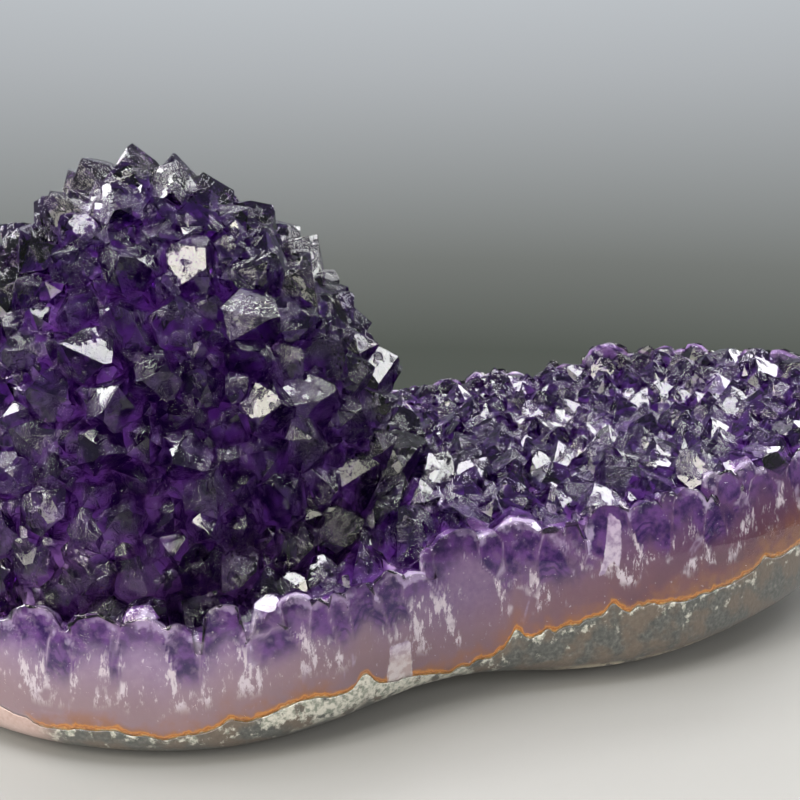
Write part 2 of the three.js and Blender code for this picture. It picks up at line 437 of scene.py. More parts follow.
def cut_by_planes(normals, reach, meetings):
    """The corners and the flat faces of the solid that planes bound."""
    triples, inverse = meetings
    points = np.einsum("tij,tj->ti", inverse, reach[triples])
    inside = (points @ normals.T <= reach + 1e-6).all(axis=1)
    points = points[inside]
    _, first = np.unique(np.round(points / PLANE_TOLERANCE).astype(np.int64), axis=0, return_index=True)
    points = points[first]
    on_plane = np.abs(points @ normals.T - reach) < PLANE_TOLERANCE
    faces = []
    for plane, normal in enumerate(normals):
        ids = np.nonzero(on_plane[:, plane])[0]
        if len(ids) < 3:
            continue
        arms = points[ids] - points[ids].mean(axis=0)
        start = arms[0] / np.linalg.norm(arms[0])
        order = np.argsort(np.arctan2(arms @ np.cross(normal, start), arms @ start))
        faces.append(ids[order].tolist())
    return points, faces


def is_closed(faces):
    """Whether every edge runs once each way round."""
    edges = [(a, b) for face in faces for a, b in zip(face, face[1:] + face[:1])]
    there = set(edges)
    return len(faces) > 3 and len(there) == len(edges) and all((b, a) in there for a, b in edges)


def crystal_object(crystals, index, meetings, shrink):
    """One crystal as a closed mesh of flat faces, or none where too little of it is left."""
    reach = crystals.reach[index] - shrink * SHRINK_SHARES
    for attempt in range(6):
        # Planes that all but share a corner are moved apart by a hair.
        hair = HAIR * attempt * np.sin(np.arange(PLANES) * 2.4 + index)
        points, faces = cut_by_planes(crystals.normals, reach + hair, meetings)
        if is_closed(faces):
            break
    else:
        return None
    world = points @ crystals.frames[index] + crystals.tips[index]
    obj = new_object("crystal", world, faces)
    cell = obj.data.attributes.new("cell", "FLOAT", "FACE")
    cell.data.foreach_set("value", np.full(len(faces), crystals.tone[index]))
    return obj


def joined_crystals(crystals, chosen, shrink=0.0):
    meetings = plane_meetings(crystals.normals)
    objects = [crystal_object(crystals, index, meetings, shrink) for index in chosen]
    objects = [obj for obj in objects if obj is not None]
    return boolean(objects[0], objects[1:], "UNION")


# The core that the crystals stand in.
CORE_DEPTH = 5.5


def rough(x, y, size, seed):
    """Smooth random relief of about unit height, made of waves in every direction."""
    random = np.random.default_rng(seed)
    total = np.zeros_like(x)
    for _ in range(10):
        direction = random.uniform(0, 2 * math.pi)
        length = size * random.uniform(0.6, 1.5)
        phase = random.uniform(0, 2 * math.pi)
        along = x * math.cos(direction) + y * math.sin(direction)
        total = total + np.sin(2 * math.pi * along / length + phase)
    return total / math.sqrt(10 / 2)


def core_height(x, y, depth, surface):
    relief = 1.1 * rough(x, y, 11, 21) + 0.6 * rough(x, y, 5, 22)
    return surface(x, y) + (relief - depth) / steepness(x, y, surface)


def steepness(x, y, surface):
    if surface is plate_height:
        return 1.0
    return np.maximum(0.34, skin_normal(x, y)[..., 2])


def plate_core(depth):
    columns = 240
    angle = angles(columns)
    radius = rim_radius(angle)
    shares = np.linspace(1.06, 0.03, 46)
    rings = []
    for share in [shares[0], *shares]:
        x, y = share * radius * np.cos(angle), share * radius * np.sin(angle)
        rings.append(np.stack([x, y, core_height(x, y, depth, plate_height)], axis=1))
    rings[0][:, 2] = -40
    middle = np.zeros(1)
    top = core_height(middle, middle, depth, plate_height)[0]
    return ring_solid("plate_core", rings, end_point=(0, 0, top), smooth=(1, len(rings) - 1))


def mound_core(depth):
    columns = 120
    angle = angles(columns)
    reach_x = np.where(np.cos(angle) < 0, MOUND_LEFT, MOUND_RIGHT)
    reach_y = np.where(np.sin(angle) < 0, MOUND_FRONT, MOUND_BACK)
    shares = 0.9 * np.sin(np.linspace(math.pi / 2, 0.02, 36)) ** 0.8
    rings = []
    for share in [shares[0], *shares]:
        x = MOUND_X + share * reach_x * np.cos(angle)
        y = MOUND_Y + share * reach_y * np.sin(angle)
        rings.append(np.stack([x, y, core_height(x, y, depth, skin_height)], axis=1))
    rings[0][:, 2] = 10
    x, y = np.array([MOUND_X]), np.array([MOUND_Y])
    top = core_height(x, y, depth, skin_height)[0]
    return ring_solid("mound_core", rings, end_point=(MOUND_X, MOUND_Y, top), smooth=(1, len(rings) - 1))


def core(depth):
    return boolean(plate_core(depth), [mound_core(depth)], "UNION")


# The three bodies: the clear crystals, the milky quartz behind the cut face, and the rock.
WALL_COLUMNS, WALL_ROWS, ROCK_ROWS = 1040, 60, 26
CLEAR_COLUMNS, CLEAR_ROWS = 520, 36
SHELL = 2.4
SKIN_OF_GLASS = 0.3
LEAST_GLASS, MOST_GLASS = 0.25, 2.0
# The glass thickens over this stretch, from this far under the plate.
THICKENING_BELOW, THICKENING_LENGTH = 9, 17
CURTAIN_FADE_START, CURTAIN_FADE_LENGTH = 5, 6
FACE_OVER_PLATE = 17
NEAR_WALL = 14
OVERLAP = 0.15
SEAM_GAP = 0.03


def milky_recess(angle, height):
    """How far the milky quartz lies behind the polished face, where clear quartz covers it."""
    over = height - plate_height(*rim_place(angle)) + THICKENING_BELOW
    return LEAST_GLASS + (MOST_GLASS - LEAST_GLASS) * ease(over / THICKENING_LENGTH)


def inset_block(inset):
    """Everything more than a distance inside the wall, from below the slab to above the tips."""
    angle = angles(260)
    rings = []
    for height in [-60, -59, *np.linspace(0, 110, 56), BLOCK_TOP - 20]:
        level = np.full(len(angle), float(height))
        rings.append(wall_points(angle, level, inset(angle, level)))
    return ring_solid("inset", rings)


SEAM_SHARES = (0.3, 0.6, 0.85, 0.95)


def seam_ring(angle, share, at_wall, gap=0.0):
    """A ring of the seam between rock and quartz, which comes to a given height at the wall."""
    rim_x, rim_y = rim_place(angle)
    x, y = share * rim_x, share * rim_y
    height = band_height(x, y) + (at_wall - band_height(rim_x, rim_y)) * ease((share - 0.5) / 0.5)
    return np.stack([x, y, height - gap], axis=1)


def cut_face(columns, rows, inset, sink=0.0):
    """Everything inside the wall and over the band, with the wall set back by a function of the place."""
    angle = angles(columns)
    low = band_line(angle) - sink
    high = plate_height(*rim_place(angle)) + FACE_OVER_PLATE
    rings = [seam_ring(angle, share, low) for share in SEAM_SHARES]
    for t in np.linspace(0, 1, rows):
        height = low + (high - low) * t
        rings.append(wall_points(angle, height, inset(angle, height)))
    smooth = (len(SEAM_SHARES), len(rings) - 1)
    for height in (110.0, 180.0):
        level = np.full(columns, height)
        rings.append(wall_points(angle, level, inset(angle, level)))
    middle = np.zeros(1)
    foot = band_height(middle, middle)[0] - sink
    return ring_solid("cut_face", rings, start_point=(0, 0, foot), smooth=smooth)


def curtain_back(angle, height):
    """How far behind the polished face the curtain ends. High over the plate there is none."""
    over = height - plate_height(*rim_place(angle))
    fade = ease((over - CURTAIN_FADE_START) / CURTAIN_FADE_LENGTH)
    return milky_recess(angle, height) + SHELL - (SHELL + 1) * fade


def milky_body(crystals, near_wall, columns, rows, overlap=0.0):
    """The core, and a thin curtain of milky quartz that rises from it.

    The curtain stands in the crystals along the rim, just behind the polished face.
    """
    shell = joined_crystals(crystals, near_wall, shrink=SKIN_OF_GLASS + overlap)
    inner = inset_block(lambda angle, height: curtain_back(angle, height) - overlap)
    shell = boolean(shell, [inner], "DIFFERENCE")
    body = boolean(core(CORE_DEPTH + overlap), [shell], "UNION")
    face = cut_face(columns, rows, lambda angle, height: milky_recess(angle, height) + overlap, 8 * overlap)
    return boolean(face, [body], "INTERSECT")


def glass_and_quartz(crystals):
    everything = np.arange(len(crystals.widths))
    near_wall = everything[inside_rim(crystals.tips) < NEAR_WALL]
    quartz = milky_body(crystals, near_wall, WALL_COLUMNS, WALL_ROWS)
    hollow = milky_body(crystals, near_wall, CLEAR_COLUMNS, CLEAR_ROWS, OVERLAP)
    glass = boolean(joined_crystals(crystals, everything), [core(CORE_DEPTH)], "UNION")
    outside = cut_face(CLEAR_COLUMNS, CLEAR_ROWS, lambda angle, height: 0.0)
    glass = boolean(outside, [glass], "INTERSECT")
    glass = boolean(glass, [hollow], "DIFFERENCE")
    drop_crumbs(glass)
    drop_crumbs(quartz)
    return glass, quartz


def rock_body():
    angle = angles(WALL_COLUMNS)
    rim_x, rim_y = rim_place(angle)
    edge = edge_height(0.98 * rim_x)
    high = band_line(angle) - SEAM_GAP
    rings = []
    for share in np.linspace(FLAT_SHARE, 0.945, 14):
        height = edge * ((share - FLAT_SHARE) / (0.95 - FLAT_SHARE)) ** 1.5
        rings.append(np.stack([share * rim_x, share * rim_y, height], axis=1))
    for t in np.linspace(0, 1, ROCK_ROWS):
        rings.append(wall_points(angle, edge + (high - edge) * t))
    for share in reversed(SEAM_SHARES):
        rings.append(seam_ring(angle, share, high, SEAM_GAP))
    middle = np.zeros(1)
    top = band_height(middle, middle)[0] - 0.05
    return ring_solid("host_rock_body", rings, end_point=(0, 0, top))


# Where the growth zones of the cut crystals lie on the wall.
SECTORS = 90
ZONES_DEPTH = 9.2
SECTOR_REACH, DEEPEST_TIP = 34, 24
FAR_FROM_TIP, FAR_FROM_SEAM = 30.0, 5.0


def write_attribute(obj, name, values):
    layer = obj.data.attributes.new(name, "FLOAT", "POINT")
    layer.data.foreach_set("value", np.asarray(values, dtype=np.float32))


def vertex_points(obj):
    points = np.empty(3 * len(obj.data.vertices), dtype=np.float32)
    obj.data.vertices.foreach_get("co", points)
    return points.reshape(-1, 3).astype(float)


def growth_zones(points, crystals):
    """For points of the cut face: the depth inside their crystal, the way to the next one, its tone."""
    angle = np.arctan2(points[:, 1], points[:, 0])
    tips = crystals.tips
    growth = np.full(len(points), FAR_FROM_TIP)
    seam = np.full(len(points), FAR_FROM_SEAM)
    tone = np.zeros(len(points))
    sector = np.floor((angle + math.pi) / (2 * math.pi) * SECTORS).astype(int) % SECTORS
    for number in range(SECTORS):
        ids = np.nonzero((sector == number) & (inside_rim(points) < ZONES_DEPTH))[0]
        if len(ids) == 0:
            continue
        centre = -math.pi + (number + 0.5) * 2 * math.pi / SECTORS
        reach = rim_radius(np.array([centre]))[0]
        place = np.array([reach * math.cos(centre), reach * math.sin(centre)])
        is_near = np.hypot(*(tips[:, :2] - place).T) < SECTOR_REACH
        near = np.nonzero(is_near & (inside_rim(tips) < DEEPEST_TIP))[0]
        normals = crystals.world_normals(near)
        arms = points[ids][:, None, :] - tips[near][None, :, :]
        along = np.einsum("vcj,cpj->vcp", arms, normals)
        inside = crystals.reach[near][None] - along
        tip_depth = np.minimum(inside[:, :, TIP_FACES].min(axis=2), inside[:, :, WORN_FACES].min(axis=2))
        depth = np.minimum(tip_depth, inside[:, :, PRISM_FACES].min(axis=2))
        order = np.argsort(-depth, axis=1)
        rows = np.arange(len(ids))
        best, second = order[:, 0], order[:, 1]
        growth[ids] = tip_depth[rows, best]
        seam[ids] = depth[rows, best] - depth[rows, second]
        tone[ids] = crystals.tone[near][best]
    return growth, seam, tone


# Points well behind the cut face count as this high above the band.
INTERIOR = 40.0
FACE_SLACK = 0.9


def height_above_band(points, face_depth):
    """How far over the band points lie that are at most about face_depth behind the polished wall."""
    angle = np.arctan2(points[:, 1], points[:, 0])
    above = points[:, 2] - band_line(angle)
    reach = np.hypot(*wall_points(angle, points[:, 2]).T[:2])
    from_wall = reach - np.hypot(points[:, 0], points[:, 1])
    return np.where(from_wall > face_depth + FACE_SLACK, INTERIOR, above)


# Two pale inclusions in the wall: the angle in degrees, the height above the band and the half width,
# at the lower end and at the upper end.
PALE_MARKS = [
    ((266.8, -2.0, 3.2), (266.8, 9.4, 2.6)),
    ((305.0, 12.0, 2.8), (306.8, 24.0, 1.2)),
]


def pale_marks(points):
    """The cream plug over the band and the white sliver between two cut crystals, from 0 to 1."""
    angle = np.degrees(np.arctan2(points[:, 1], points[:, 0])) % 360
    above = points[:, 2] - band_line(np.radians(angle))
    mark = np.zeros(len(points))
    for (angle_low, low, half_low), (angle_high, high, half_high) in PALE_MARKS:
        t = np.clip((above - low) / (high - low), 0, 1)
        middle = angle_low + (angle_high - angle_low) * t
        half = half_low + (half_high - half_low) * t
        off = np.radians(np.abs(angle - middle)) * np.hypot(points[:, 0], points[:, 1])
        along = ease((above - low) / 1.5 + 1) * ease((high - above) / 1.5 + 1)
        mark = np.maximum(mark, ease((half - off) / 1.2 + 0.5) * along)
    return mark


class Shader:
    """A node material, built from small steps that each return a socket."""

    def __init__(self, name):
        self.material = bpy.data.materials.new(name)
        self.material.use_nodes = True
        self.tree = self.material.node_tree
        self.tree.nodes.clear()
        self.place = None
        self.coordinates = None

    def node(self, kind, inputs=None, **settings):
        node = self.tree.nodes.new(kind)
        for key, value in settings.items():
            setattr(node, key, value)
        for key, value in (inputs or {}).items():
            if isinstance(value, bpy.types.NodeSocket):
                self.tree.links.new(value, node.inputs[key])
            elif value is not None:
                node.inputs[key].default_value = value
        return node

    def millimetres(self):
        if self.place is None:
            where = self.node("ShaderNodeTexCoord").outputs["Object"]
            scale = {"Vector": where, "Scale": (1000, 1000, 1000)}
            self.place = self.node("ShaderNodeMapping", scale).outputs["Vector"]
        return self.place

    def axis(self, name):
        if self.coordinates is None:
            place = {"Vector": self.millimetres()}
            self.coordinates = self.node("ShaderNodeSeparateXYZ", place).outputs
        return self.coordinates[name]

    def stretched(self, scale):
        inputs = {"Vector": self.millimetres(), "Scale": scale}
        return self.node("ShaderNodeMapping", inputs).outputs["Vector"]

    def value(self, name):
        return self.node("ShaderNodeAttribute", attribute_name=name).outputs["Fac"]

    def math(self, operation, *inputs):
        node = self.node("ShaderNodeMath", operation=operation)
        for index, value in enumerate(inputs):
            if isinstance(value, bpy.types.NodeSocket):
                self.tree.links.new(value, node.inputs[index])
            else:
                node.inputs[index].default_value = value
        return node.outputs[0]

    def product(self, first, *others):
        for other in others:
            first = self.math("MULTIPLY", first, other)
        return first

    def total(self, first, *others):
        for other in others:
            first = self.math("ADD", first, other)
        return first

    def between(self, value, low, high, start=0.0, end=1.0):
        """The value's place from low to high, smoothly, as a number from start to end."""
        inputs = {"Value": value, "From Min": low, "From Max": high, "To Min": start, "To Max": end}
        return self.node("ShaderNodeMapRange", inputs, interpolation_type="SMOOTHSTEP").outputs["Result"]

    def noise(self, scale, detail=3.0, vector=None, roughness=0.5):
        inputs = {"Vector": vector or self.millimetres(), "Scale": scale, "Detail": detail,
                  "Roughness": roughness}
        return self.node("ShaderNodeTexNoise", inputs).outputs["Fac"]

    def mix(self, factor, first, second):
        node = self.node("ShaderNodeMix", data_type="RGBA")
        for name, value in (("Factor_Float", factor), ("A_Color", first), ("B_Color", second)):
            socket = next(s for s in node.inputs if s.identifier == name)
            if isinstance(value, bpy.types.NodeSocket):
                self.tree.links.new(value, socket)
            elif name == "Factor_Float":
                socket.default_value = value
            else:
                socket.default_value = (*value, 1)
        return next(s for s in node.outputs if s.identifier == "Result_Color")

    def ramp(self, value, stops):
        node = self.node("ShaderNodeValToRGB", {"Fac": value})
        elements = node.color_ramp.elements
        while len(elements) < len(stops):
            elements.new(0.5)
        for element, (position, colour) in zip(elements, stops):
            element.position = position
            element.color = (*colour, 1)
        return node.outputs["Color"]

    def bump(self, height, distance, strength=1.0, normal=None):
        inputs = {"Height": height, "Distance": distance, "Strength": strength, "Normal": normal}
        return self.node("ShaderNodeBump", inputs).outputs["Normal"]

    def facets(self, size, lean, normal):
        """The normal leaning its own way in each small cell, as on a face made of little facets."""
        cells = self.node("ShaderNodeTexVoronoi", {"Vector": self.millimetres(), "Scale": 1 / size})
        way = self.vector("SUBTRACT", cells.outputs["Color"], (0.5, 0.5, 0.5))
        scaled = self.node("ShaderNodeVectorMath", {0: way, "Scale": lean}, operation="SCALE").outputs[0]
        return self.vector("NORMALIZE", self.vector("ADD", normal, scaled))

    def vector(self, operation, *inputs):
        return self.node("ShaderNodeVectorMath", dict(enumerate(inputs)), operation=operation).outputs[0]

    def low_end(self, start, full):
        """Where, at the front of the low end, the rock and its band run out: from 0 to 1."""
        return self.product(self.between(self.axis("X"), start, full), self.between(self.axis("Y"), -50, -65))

    def finish(self, inputs, volume=None):
        surface = self.node("ShaderNodeBsdfPrincipled", inputs)
        out = self.node("ShaderNodeOutputMaterial", {"Surface": surface.outputs["BSDF"]})
        if volume is not None:
            self.tree.links.new(volume, out.inputs["Volume"])
        return self.material


QUARTZ_IOR = 1.544
ABSORPTION_COLOUR = (0.46, 0.15, 0.61, 1)
ABSORPTION_DENSITY = 185.0


def crystal_material():
    shader = Shader("amethyst_crystal")
    cell = shader.value("cell")
    # Growth terraces a few hundredths of a millimetre high.
    relief = shader.total(shader.noise(0.22, 2), shader.product(cell, 3.0))
    steps = shader.product(relief, 14.0)
    slopes = shader.between(shader.math("FRACT", steps), 0.8, 1.0)
    terraces = shader.total(shader.math("FLOOR", steps), slopes)
    stepped = shader.bump(terraces, 0.00002, 0.6)
    # Patches where the faces are etched, with slightly more of them on the mound.
    on_mound = shader.between(shader.axis("X"), 15, -15, 0.0, 0.015)
    patches = shader.total(shader.noise(0.24, 3), shader.product(cell, 0.18), on_mound)
    etched = shader.between(patches, 0.59, 0.67)
    pits = shader.product(shader.noise(2.2, 2), etched)
    pitted = shader.bump(pits, 0.00022, 1.0, stepped)
    sparkling = shader.facets(0.9, shader.total(0.006, shader.product(etched, 0.34)), pitted)
    absorption = shader.node("ShaderNodeVolumeAbsorption", {
        "Color": ABSORPTION_COLOUR, "Density": ABSORPTION_DENSITY,
    })
    return shader.finish({
        "Base Color": (0.97, 0.95, 1.0, 1), "Roughness": shader.total(0.02, shader.product(etched, 0.13)),
        "IOR": QUARTZ_IOR, "Transmission Weight": 1.0, "Normal": sparkling,
    }, absorption.outputs["Volume"])


# Colours of the cut face. Each pair is a darker and a lighter shade.
MAUVE_LEFT = ((0.37, 0.25, 0.265), (0.55, 0.40, 0.42))
LILAC_LEFT = ((0.34, 0.22, 0.41), (0.58, 0.45, 0.62))
MAUVE_RIGHT = ((0.145, 0.052, 0.07), (0.28, 0.125, 0.16))
LILAC_RIGHT = ((0.10, 0.036, 0.12), (0.25, 0.125, 0.25))
CLOUDY_ROOTS = ((0.045, 0.012, 0.10), (0.52, 0.34, 0.68))
PURPLE_CAPS = ((0.040, 0.012, 0.11), (0.20, 0.08, 0.31))
CREAM_PLUG = ((0.74, 0.60, 0.54), (1.0, 0.93, 0.86))
WHITE_SLIVER = ((0.55, 0.42, 0.60), (0.95, 0.86, 0.95))
GROWTH_LINE = (0.03, 0.008, 0.11)
SEAM_LINE = (0.66, 0.55, 0.72)
PALE_SKIN = (0.80, 0.71, 0.90)
FEATHER = (0.97, 0.90, 0.92)
SPECK = (0.90, 0.82, 0.84)
IRON_HAZE = (0.48, 0.21, 0.09)
IRON_BAND = [
    (0.0, (0.90, 0.66, 0.34)), (0.12, (1.0, 0.50, 0.10)), (0.27, (0.62, 0.20, 0.03)),
    (0.42, (0.90, 0.40, 0.08)), (0.65, (0.58, 0.24, 0.08)), (1.0, (0.50, 0.25, 0.12)),
]
IRON_BAND_HEIGHT = 2.4


class CutFace(Shader):
    """The milky quartz's material. Each method lays one thing that the cut face shows over a colour."""

    def __init__(self):
        super().__init__("milky_quartz")
        names = ("growth", "seam", "tone", "above", "mark")
        self.growth, self.seam, self.tone, self.above, self.mark = (self.value(name) for name in names)
        self.to_right = self.between(self.axis("X"), -90, 110)
        self.fine = self.noise(0.5, 4)
        self.broad = self.noise(0.07, 3)
        self.streaks = self.noise(1.0, 6, self.stretched((0.8, 0.8, 0.26)), 0.7)
        # How far a point lies inside the purple zone under its crystal's tip.
        wavy = self.total(self.growth, self.product(self.noise(0.18, 3), 3.0))
        zone_end = self.total(5.5, self.product(self.tone, 7.0))
        self.into_zone = self.math("SUBTRACT", zone_end, wavy)

    def body(self):
        """Mauve haze low down, lilac higher up, both darker towards the raised end."""
        rise = self.between(self.above, 5, 22)
        left = self.mix(rise, self.mix(self.broad, *MAUVE_LEFT), self.mix(self.fine, *LILAC_LEFT))
        right = self.mix(rise, self.mix(self.broad, *MAUVE_RIGHT), self.mix(self.fine, *LILAC_RIGHT))
        return self.mix(self.to_right, left, right)

    def roots(self, colour):
        """Cloudy violet out of sight of the cut face, where the crystals stand."""
        cloud = self.between(self.noise(0.16, 4), 0.40, 0.66)
        return self.mix(self.between(self.above, 30, 38), colour, self.mix(cloud, *CLOUDY_ROOTS))

    def purple_zones(self, colour):
        """Purple under each tip, with a few dark lines that repeat the tip's form."""
        purple = self.product(
            self.between(self.into_zone, -3.0, 2.5), self.between(self.above, 10, 17),
            self.between(self.seam, 0.1, 1.2, 0.45, 1.0), self.between(self.tone, 0.0, 0.35, 0.7, 1.0),
            self.between(self.noise(0.35, 4), 0.30, 0.48, 0.55, 1.0),
        )
        shaky = self.total(self.growth, self.product(self.noise(0.4, 3), 1.6))
        waves = self.math("SINE", self.product(shaky, 4.6))
        lines = self.product(
            self.between(waves, -0.3, 0.9), self.between(self.tone, 0.5, 0.6, 0, 0.8),
            self.between(self.into_zone, -0.4, 0.8), self.between(self.into_zone, 5.2, 4.2),
            self.between(self.noise(0.12, 2), 0.38, 0.50),
        )
        cloudy = self.mix(self.between(self.noise(0.3, 5), 0.35, 0.65), *PURPLE_CAPS)
        return self.mix(purple, colour, self.mix(lines, cloudy, GROWTH_LINE))

    def skins(self, colour):
        """Pale skins along some of the seams between crystals and over some of their tips."""
        ragged_seam = self.total(self.seam, self.product(self.fine, 0.5))
        seam_line = self.product(
            self.between(ragged_seam, 0.15, 0.75, 1, 0), self.between(self.growth, 5, 16, 0.75, 0.12),
            self.between(self.noise(0.14, 3), 0.43, 0.55),
        )
        colour = self.mix(seam_line, colour, SEAM_LINE)
        ragged_growth = self.total(self.growth, self.product(self.noise(0.5, 5), 5.0))
        skin = self.product(
            self.between(ragged_growth, 4.6, 3.2), self.between(self.above, 38, 34),
            self.between(self.noise(0.10, 4), 0.43, 0.54, 0.0, 0.8),
        )
        return self.mix(skin, colour, PALE_SKIN)

    def feathers(self, colour):
        """White feathers under the purple zones, thickest beside the seams, and a few specks."""
        common = self.total(self.noise(0.11, 3), self.between(self.to_right, 0.7, 0.3, -0.02, 0.11))
        where = self.product(
            self.between(self.into_zone, 1.5, -1.5), self.between(self.growth, 26, 16),
            self.between(self.above, 34, 30), self.between(self.above, 5, 9),
            self.between(common, 0.46, 0.57),
        )
        beside_seam = self.between(self.seam, 4.0, 0.6, 0.0, 0.13)
        feathers = self.between(self.total(self.streaks, beside_seam), 0.57, 0.68)
        colour = self.mix(self.product(feathers, where), colour, FEATHER)
        specks = self.between(self.noise(0.9, 2), 0.70, 0.76, 0.0, 0.6)
        return self.mix(specks, colour, SPECK)

    def iron_band(self, colour):
        """The iron-stained band over the rock: thin bright lines, with brown haze above them."""
        ragged = self.product(self.math("SUBTRACT", self.noise(0.45, 5), 0.5), 3.0)
        stained = self.total(self.above, ragged)
        left_thickness = self.between(self.broad, 0.3, 0.7, 1.2, 8.0)
        thickness = self.total(left_thickness, self.between(self.axis("X"), 20, 130, 0.0, 7.0))
        present = self.math("SUBTRACT", 1.0, self.low_end(-88, -96))
        haze = self.product(
            self.between(self.math("DIVIDE", stained, thickness), 1.1, 0.1, 0, 0.85),
            self.between(self.noise(0.22, 4), 0.35, 0.60, 0.4, 1.0), present,
        )
        colour = self.mix(haze, colour, IRON_HAZE)
        band = self.ramp(self.math("DIVIDE", stained, IRON_BAND_HEIGHT), IRON_BAND)
        seen = self.product(
            self.between(stained, 1.9, 0.9), self.between(self.broad, 0.25, 0.5, 0.6, 1.0), present,
        )
        return self.mix(seen, colour, band)

    def inclusions(self, colour):
        """The cream plug over the band and the white sliver higher up, with torn borders."""
        torn = self.product(self.math("SUBTRACT", self.streaks, 0.5), 2.0)
        pale = self.between(self.total(self.mark, torn), 0.35, 0.80)
        shade = self.between(self.fine, 0.35, 0.6)
        plug_or_sliver = self.between(self.above, 4, 12)
        inside = self.mix(plug_or_sliver, self.mix(shade, *CREAM_PLUG), self.mix(shade, *WHITE_SLIVER))
        return self.mix(pale, colour, inside)


def quartz_material():
    face = CutFace()
    colour = face.roots(face.body())
    colour = face.feathers(face.skins(face.purple_zones(colour)))
    colour = face.inclusions(face.iron_band(colour))
    return face.finish({
        "Base Color": colour, "Roughness": face.between(face.fine, 0.3, 0.7, 0.10, 0.22),
        "IOR": QUARTZ_IOR, "Specular IOR Level": 0.15, "Normal": face.bump(face.noise(0.6, 3), 0.00005),
    })


# Colours of the host rock. Each pair is a darker and a lighter shade.
GREY_STONE = [
    (0.30, (0.046, 0.049, 0.046)), (0.5, (0.078, 0.081, 0.076)), (0.72, (0.145, 0.143, 0.133)),
]
BROWN_STONE = (0.15, 0.105, 0.075)
PALE_STONE = ((0.21, 0.23, 0.19), (0.60, 0.58, 0.51))
PINKISH_STONE = ((0.30, 0.19, 0.16), (0.52, 0.40, 0.38))
RIND = (0.62, 0.55, 0.42)


def rock_material():
    shader = Shader("host_rock_polished")
    grain = shader.noise(0.9, 5)
    brown = shader.between(shader.noise(0.12, 4), 0.42, 0.62, 0, 0.6)
    colour = shader.mix(brown, shader.ramp(grain, GREY_STONE), BROWN_STONE)
    # A pale zone hangs from the band in the middle, and breaks into patches on either side.
    depth = shader.product(shader.value("above"), -1.0)
    x = shader.axis("X")
    middle = shader.product(shader.between(x, -45, -28), shader.between(x, 22, 4, 0.0, 0.17))
    blotches = shader.total(
        shader.noise(0.30, 6, shader.stretched((1.0, 1.0, 0.8)), 0.6),
        shader.between(depth, 5.5, 0.5, 0.0, 0.10), middle,
    )
    pale = shader.product(shader.between(blotches, 0.60, 0.70, 0.0, 0.9), shader.between(depth, 10, 5))
    colour = shader.mix(pale, colour, shader.mix(shader.between(grain, 0.35, 0.6), *PALE_STONE))
    colour = shader.mix(shader.low_end(-84, -94), colour, shader.mix(grain, *PINKISH_STONE))
    # A pale rind along the lowest edge of the raised end.
    rind = shader.product(shader.value("rind"), shader.between(shader.noise(0.3, 3), 0.40, 0.52))
    colour = shader.mix(rind, colour, RIND)
    return shader.finish({
        "Base Color": colour, "Roughness": shader.between(grain, 0.3, 0.7, 0.28, 0.5),
        "Coat Weight": 0.3, "Coat Roughness": 0.12, "Normal": shader.bump(grain, 0.00012),
    })


def floor_material():
    shader = Shader("floor")
    tint = shader.mix(shader.noise(0.01, 2), (0.215, 0.213, 0.205), (0.235, 0.233, 0.227))
    return shader.finish({"Base Color": tint, "Roughness": 0.55})


def finish_piece(obj, name, material, node):
    points = in_frame(vertex_points(obj)).astype(np.float32)
    obj.data.vertices.foreach_set("co", points.ravel())
    obj.name = obj.data.name = name
    obj.data.materials.clear()
    obj.data.materials.append(material)
    obj.data.update()
    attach(obj, "root")
    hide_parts(node)


def make_crust():
    crystals = Crystals()
    glass, quartz = glass_and_quartz(crystals)
    points = vertex_points(quartz)
    for name, values in zip(("growth", "seam", "tone"), growth_zones(points, crystals)):
        write_attribute(quartz, name, values)
    recess = milky_recess(np.arctan2(points[:, 1], points[:, 0]), points[:, 2])
    write_attribute(quartz, "above", height_above_band(points, recess))
    write_attribute(quartz, "mark", pale_marks(points))
    link(glass, quartz)
    finish_piece(glass, "amethyst_crystals", crystal_material(), "amethyst_crust")
    finish_piece(quartz, "milky_quartz", quartz_material(), "amethyst_crust")


RIND_HEIGHT = 3.2
ROCK_FACE_DEPTH = 8.0


def make_rock():
    rock = rock_body()
    points = vertex_points(rock)
    share = rim_share(points[:, 0], points[:, 1])
    above_edge = points[:, 2] - edge_height(points[:, 0])
    rind = ease((RIND_HEIGHT - above_edge) / 2) * ease((share - 0.9) / 0.04) * ease((points[:, 0] - 30) / 25)
    write_attribute(rock, "above", height_above_band(points, ROCK_FACE_DEPTH))
    write_attribute(rock, "rind", rind)
    link(rock)
    finish_piece(rock, "host_rock_cut", rock_material(), "host_rock")
    rock.data.shade_smooth()


# A round table top, whose far edge the object hides.
FLOOR_REACH, FLOOR_Y, FLOOR_CORNERS = 0.255, -0.01, 96


def make_floor():
    corners = [
        (FLOOR_REACH * math.cos(a), FLOOR_Y + FLOOR_REACH * math.sin(a), 0) for a in angles(FLOOR_CORNERS)
    ]
    floor = new_object("floor", corners, [list(range(FLOOR_CORNERS))])
    link(floor)
    floor.data.materials.append(floor_material())


WHITE, CREAM = (1.0, 1.0, 1.0), (1.0, 0.95, 0.85)
LIGHTS_LOOK_AT = (0, 0, 0.06)
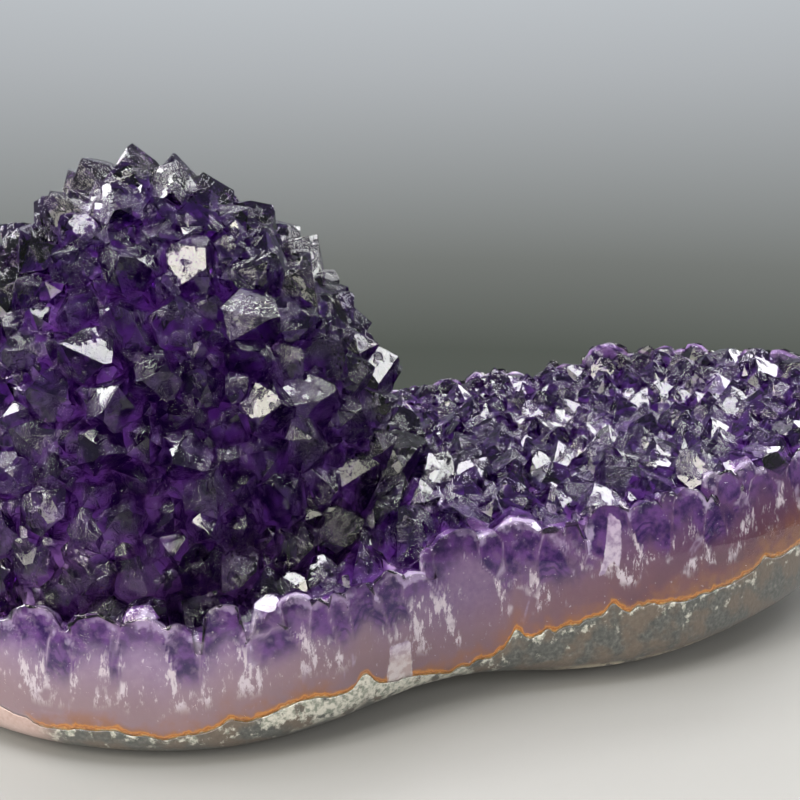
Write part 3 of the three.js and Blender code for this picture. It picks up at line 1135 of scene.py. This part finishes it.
# The softboxes: name, direction from the object, distance, width and height, radiance, colour.
SOFTBOXES = [
    ("window", (0.85, 0.45, 0.62), 1.3, (0.64, 0.46), 11.5, WHITE),
    ("ceiling", (-0.1, 0.5, 1.0), 1.5, (1.0, 0.8), 2.6, WHITE),
    ("skylight", (-0.15, 0.45, 1.0), 1.3, (0.36, 0.30), 18, WHITE),
    ("overhead", (-0.32, -0.05, 1.0), 1.3, (0.58, 0.50), 18, WHITE),
    ("top_right", (0.45, -0.15, 1.0), 1.3, (0.26, 0.26), 15, WHITE),
    ("side_left", (-0.95, 0.2, 0.45), 1.2, (0.42, 0.44), 14, WHITE),
    ("side_right", (0.95, -0.4, 0.5), 1.3, (0.25, 0.35), 13, WHITE),
    ("left_window", (-0.75, -0.55, 0.8), 1.3, (0.6, 0.5), 15, CREAM),
    ("room_left", (-0.95, -1.2, 0.68), 1.68, (0.36, 0.85), 5.8, CREAM),
    ("room_middle", (-0.48, -1.36, 0.68), 1.6, (0.36, 0.85), 5.8, CREAM),
    ("room_right", (0, -1.53, 0.68), 1.67, (0.36, 0.85), 5.8, CREAM),
]


def add_softbox(name, direction, distance, size, radiance, colour):
    """A rectangular light that faces the middle of the object."""
    data = bpy.data.lights.new(name, "AREA")
    data.shape = "RECTANGLE"
    data.size, data.size_y = size
    data.energy = radiance * math.pi * size[0] * size[1]
    data.color = colour
    light = bpy.data.objects.new(name, data)
    link(light)
    towards = Vector(direction).normalized()
    light.location = towards * distance + Vector(LIGHTS_LOOK_AT)
    light.rotation_euler = towards.to_track_quat("Z", "Y").to_euler()


# The backdrop's colour by the sine of the angle at which one looks up.
LOWEST, HIGHEST = -0.2, 0.8
BACKDROP = [
    (-0.2, (0.095, 0.105, 0.092)), (-0.1, (0.180, 0.190, 0.180)), (0.1, (0.43, 0.45, 0.47)),
    (0.2, (0.53, 0.56, 0.59)), (0.4, (0.30, 0.31, 0.33)), (0.8, (0.24, 0.25, 0.27)),
]


def make_world():
    world = bpy.data.worlds.new("studio")
    world.use_nodes = True
    bpy.context.scene.world = world
    nodes, links = world.node_tree.nodes, world.node_tree.links
    nodes.clear()
    where = nodes.new("ShaderNodeTexCoord")
    split = nodes.new("ShaderNodeSeparateXYZ")
    height = nodes.new("ShaderNodeMapRange")
    height.inputs["From Min"].default_value = LOWEST
    height.inputs["From Max"].default_value = HIGHEST
    ramp = nodes.new("ShaderNodeValToRGB")
    elements = ramp.color_ramp.elements
    while len(elements) < len(BACKDROP):
        elements.new(0.5)
    for element, (rise, colour) in zip(elements, BACKDROP):
        element.position = (rise - LOWEST) / (HIGHEST - LOWEST)
        element.color = (*colour, 1)
    background = nodes.new("ShaderNodeBackground")
    out = nodes.new("ShaderNodeOutputWorld")
    links.new(where.outputs["Generated"], split.inputs[0])
    links.new(split.outputs["Z"], height.inputs["Value"])
    links.new(height.outputs["Result"], ramp.inputs["Fac"])
    links.new(ramp.outputs["Color"], background.inputs["Color"])
    links.new(background.outputs[0], out.inputs["Surface"])


CAMERA_PLACE = (-5, -276, 135)
CAMERA_TILT = math.radians(75)
SENSOR_WIDTH, FOCAL_LENGTH = 36, 38.61


def make_camera():
    data = bpy.data.cameras.new("camera")
    data.sensor_width = SENSOR_WIDTH
    data.lens = FOCAL_LENGTH
    camera = bpy.data.objects.new("camera", data)
    link(camera)
    camera.location = in_frame(CAMERA_PLACE)
    camera.rotation_euler = (CAMERA_TILT, 0, 0)
    bpy.context.scene.camera = camera


def set_light_paths():
    cycles = bpy.context.scene.cycles
    cycles.caustics_reflective = False
    cycles.max_bounces = 6
    cycles.transmission_bounces = 6
    cycles.glossy_bounces = 2
    cycles.diffuse_bounces = 2
    bpy.context.scene.view_settings.view_transform = "Standard"


make_crust()
make_rock()
make_floor()
make_world()
for softbox in SOFTBOXES:
    add_softbox(*softbox)
make_camera()
set_light_paths()
